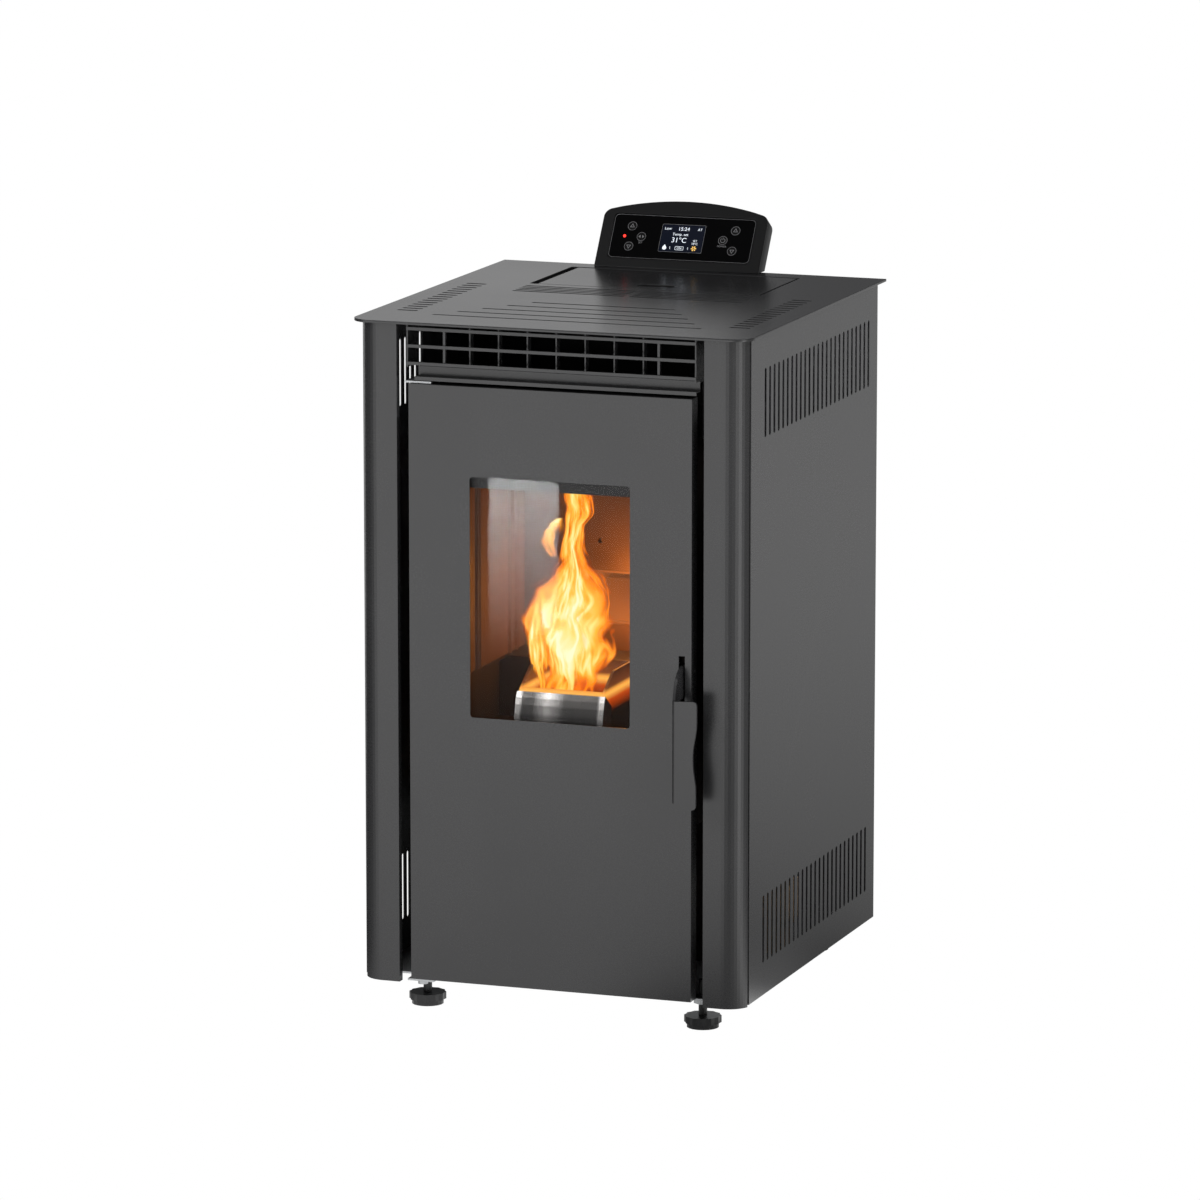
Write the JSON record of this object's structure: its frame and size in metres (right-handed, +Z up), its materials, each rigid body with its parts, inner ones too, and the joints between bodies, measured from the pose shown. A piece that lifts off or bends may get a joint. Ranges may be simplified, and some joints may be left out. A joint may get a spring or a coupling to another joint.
{
  "type": "pellet stove",
  "caption": "Free-standing pellet stove: full-height door with a window, slotted casing, top hopper lid, warm-air grille, tilted control panel and levelling feet.",
  "frame": {"origin": "centre of the whole stove's footprint, on the floor under its feet", "axes": "+X to the stove's right seen from its front, +Y from its front to its back, +Z up"},
  "size_m": [0.45, 0.5468, 0.8256],
  "materials": {
    "enamel": "satin dark grey enamel",
    "top_enamel": "glossy dark grey enamel",
    "dark_steel": "matt black steel",
    "galvanised": "galvanised sheet",
    "fire_steel": "heat-darkened steel",
    "liner": "heat-darkened liner",
    "cast_iron": "cast",
    "polished": "polished stainless steel",
    "plastic": "black",
    "glass": "clear and dark",
    "rubber": "black",
    "rope": "glass-fibre rope",
    "ceramic": "ceramic",
    "board": "green lacquer",
    "winding": "motor body",
    "red": "red lens"
  },
  "bodies": {
    "stove": {"base_plate": "galvanised", "rear_panel": "galvanised", "upper_hinge": "galvanised", "lower_hinge_pin": "galvanised", "warm_air_duct": "galvanised", "hopper": "galvanised", "feed_tube": "galvanised", "drop_chute": "galvanised", "smoke_fan_housing": "galvanised", "air_inlet_pipe": "galvanised", "room_fan_housing": "galvanised", "left_side_panel": "enamel", "right_side_panel": "enamel", "left_front_column": "enamel", "right_front_column": "enamel", "warm_air_grille": "enamel", "front_ledge": "enamel", "top_plate": "top_enamel", "feed_gear_motor": "dark_steel", "flue_outlet": "dark_steel", "control_panel_overlay": "glass", "lcd_display": "glass", "firebox_body": "fire_steel", "firebox_front": "fire_steel", "firebox_back_liner": "liner", "firebox_left_liner": "liner", "firebox_right_liner": "liner", "pot_tray": "cast_iron", "pot_shield": "polished", "smoke_fan_motor": "winding", "room_fan_motor": "winding", "control_board": "board", "mains_inlet": "plastic", "control_panel_housing": "plastic", "status_led": "red", "igniter": "ceramic"},
    "door": {"door_panel": "enamel", "door_glass": "glass", "door_frame": "dark_steel", "glass_retainer": "dark_steel", "door_gasket": "rope", "handle_pin": "galvanised"},
    "lever": {"door_handle": "enamel"},
    "lid": {"hopper_lid": "top_enamel"},
    "drawer": {"ash_drawer": "galvanised"},
    "pot": {"burn_pot": "cast_iron"},
    "screw": {"feed_screw": "dark_steel"},
    "smoke_wheel": {"smoke_fan_impeller": "galvanised"},
    "room_wheel": {"room_fan_rotor": "dark_steel"},
    "rocker": {"mains_rocker": "plastic"},
    "key_left_up": {"key_left_up": "rubber"},
    "key_left_menu": {"key_left_menu": "rubber"},
    "key_left_down": {"key_left_down": "rubber"},
    "key_right_up": {"key_right_up": "rubber"},
    "key_power": {"key_power": "rubber"},
    "key_right_down": {"key_right_down": "rubber"},
    "foot_front_left": {"levelling_foot_front_left": "rubber"},
    "foot_front_right": {"levelling_foot_front_right": "rubber"},
    "foot_rear_left": {"levelling_foot_rear_left": "rubber"},
    "foot_rear_right": {"levelling_foot_rear_right": "rubber"}
  },
  "joints": [
    {"name": "door_swing", "type": "hinge", "parent": "stove", "child": "door", "pos_m": [-0.15, -0.23241, 0.36], "axis": [0, 0, -1], "range_deg": [0, 110]},
    {"name": "lever_lift", "type": "hinge", "parent": "door", "child": "lever", "pos_m": [0.1489, -0.23091, 0.395], "axis": [-1, 0, 0], "range_deg": [0, 40]},
    {"name": "lid_swing", "type": "hinge", "parent": "stove", "child": "lid", "pos_m": [0, 0.19009, 0.748], "axis": [-1, 0, 0], "range_deg": [0, 80]},
    {"name": "drawer_slide", "type": "slide", "parent": "stove", "child": "drawer", "axis": [0, -1, 0], "range_m": [0, 0.15]},
    {"name": "pot_lift", "type": "slide", "parent": "stove", "child": "pot", "axis": [0, 0, 1], "range_m": [0, 0.05]},
    {"name": "screw_turn", "type": "hinge", "parent": "stove", "child": "screw", "pos_m": [0, 0.077, 0.40177], "axis": [0, -0.5299, 0.848], "continuous": true},
    {"name": "smoke_fan_turn", "type": "hinge", "parent": "stove", "child": "smoke_wheel", "pos_m": [-0.14, 0.07059, 0.225], "axis": [1, 0, 0], "continuous": true},
    {"name": "room_fan_turn", "type": "hinge", "parent": "stove", "child": "room_wheel", "pos_m": [0.045, 0.01659, 0.096], "axis": [1, 0, 0], "continuous": true},
    {"name": "rocker_tilt", "type": "hinge", "parent": "stove", "child": "rocker", "pos_m": [0.165, 0.21009, 0.115], "axis": [1, 0, 0], "range_deg": [0, 8]},
    {"name": "key_left_up_press", "type": "slide", "parent": "stove", "child": "key_left_up", "axis": [0, 0.8377, -0.5461], "range_m": [0, 0.0005], "stiffness_N_per_m": 200},
    {"name": "key_left_menu_press", "type": "slide", "parent": "stove", "child": "key_left_menu", "axis": [0, 0.8377, -0.5461], "range_m": [0, 0.0005], "stiffness_N_per_m": 200},
    {"name": "key_left_down_press", "type": "slide", "parent": "stove", "child": "key_left_down", "axis": [0, 0.8377, -0.5461], "range_m": [0, 0.0005], "stiffness_N_per_m": 200},
    {"name": "key_right_up_press", "type": "slide", "parent": "stove", "child": "key_right_up", "axis": [0, 0.8377, -0.5461], "range_m": [0, 0.0005], "stiffness_N_per_m": 200},
    {"name": "key_power_press", "type": "slide", "parent": "stove", "child": "key_power", "axis": [0, 0.8377, -0.5461], "range_m": [0, 0.0005], "stiffness_N_per_m": 200},
    {"name": "key_right_down_press", "type": "slide", "parent": "stove", "child": "key_right_down", "axis": [0, 0.8377, -0.5461], "range_m": [0, 0.0005], "stiffness_N_per_m": 200},
    {"name": "foot_front_left_screw", "type": "slide", "parent": "stove", "child": "foot_front_left", "axis": [0, 0, -1], "range_m": [0, 0.012]},
    {"name": "foot_front_right_screw", "type": "slide", "parent": "stove", "child": "foot_front_right", "axis": [0, 0, -1], "range_m": [0, 0.012]},
    {"name": "foot_rear_left_screw", "type": "slide", "parent": "stove", "child": "foot_rear_left", "axis": [0, 0, -1], "range_m": [0, 0.012]},
    {"name": "foot_rear_right_screw", "type": "slide", "parent": "stove", "child": "foot_rear_right", "axis": [0, 0, -1], "range_m": [0, 0.012]}
  ],
  "couplings": [
    {"joint": "drawer_slide", "follows": "door_swing", "m_per_rad": 0.0781}
  ]
}
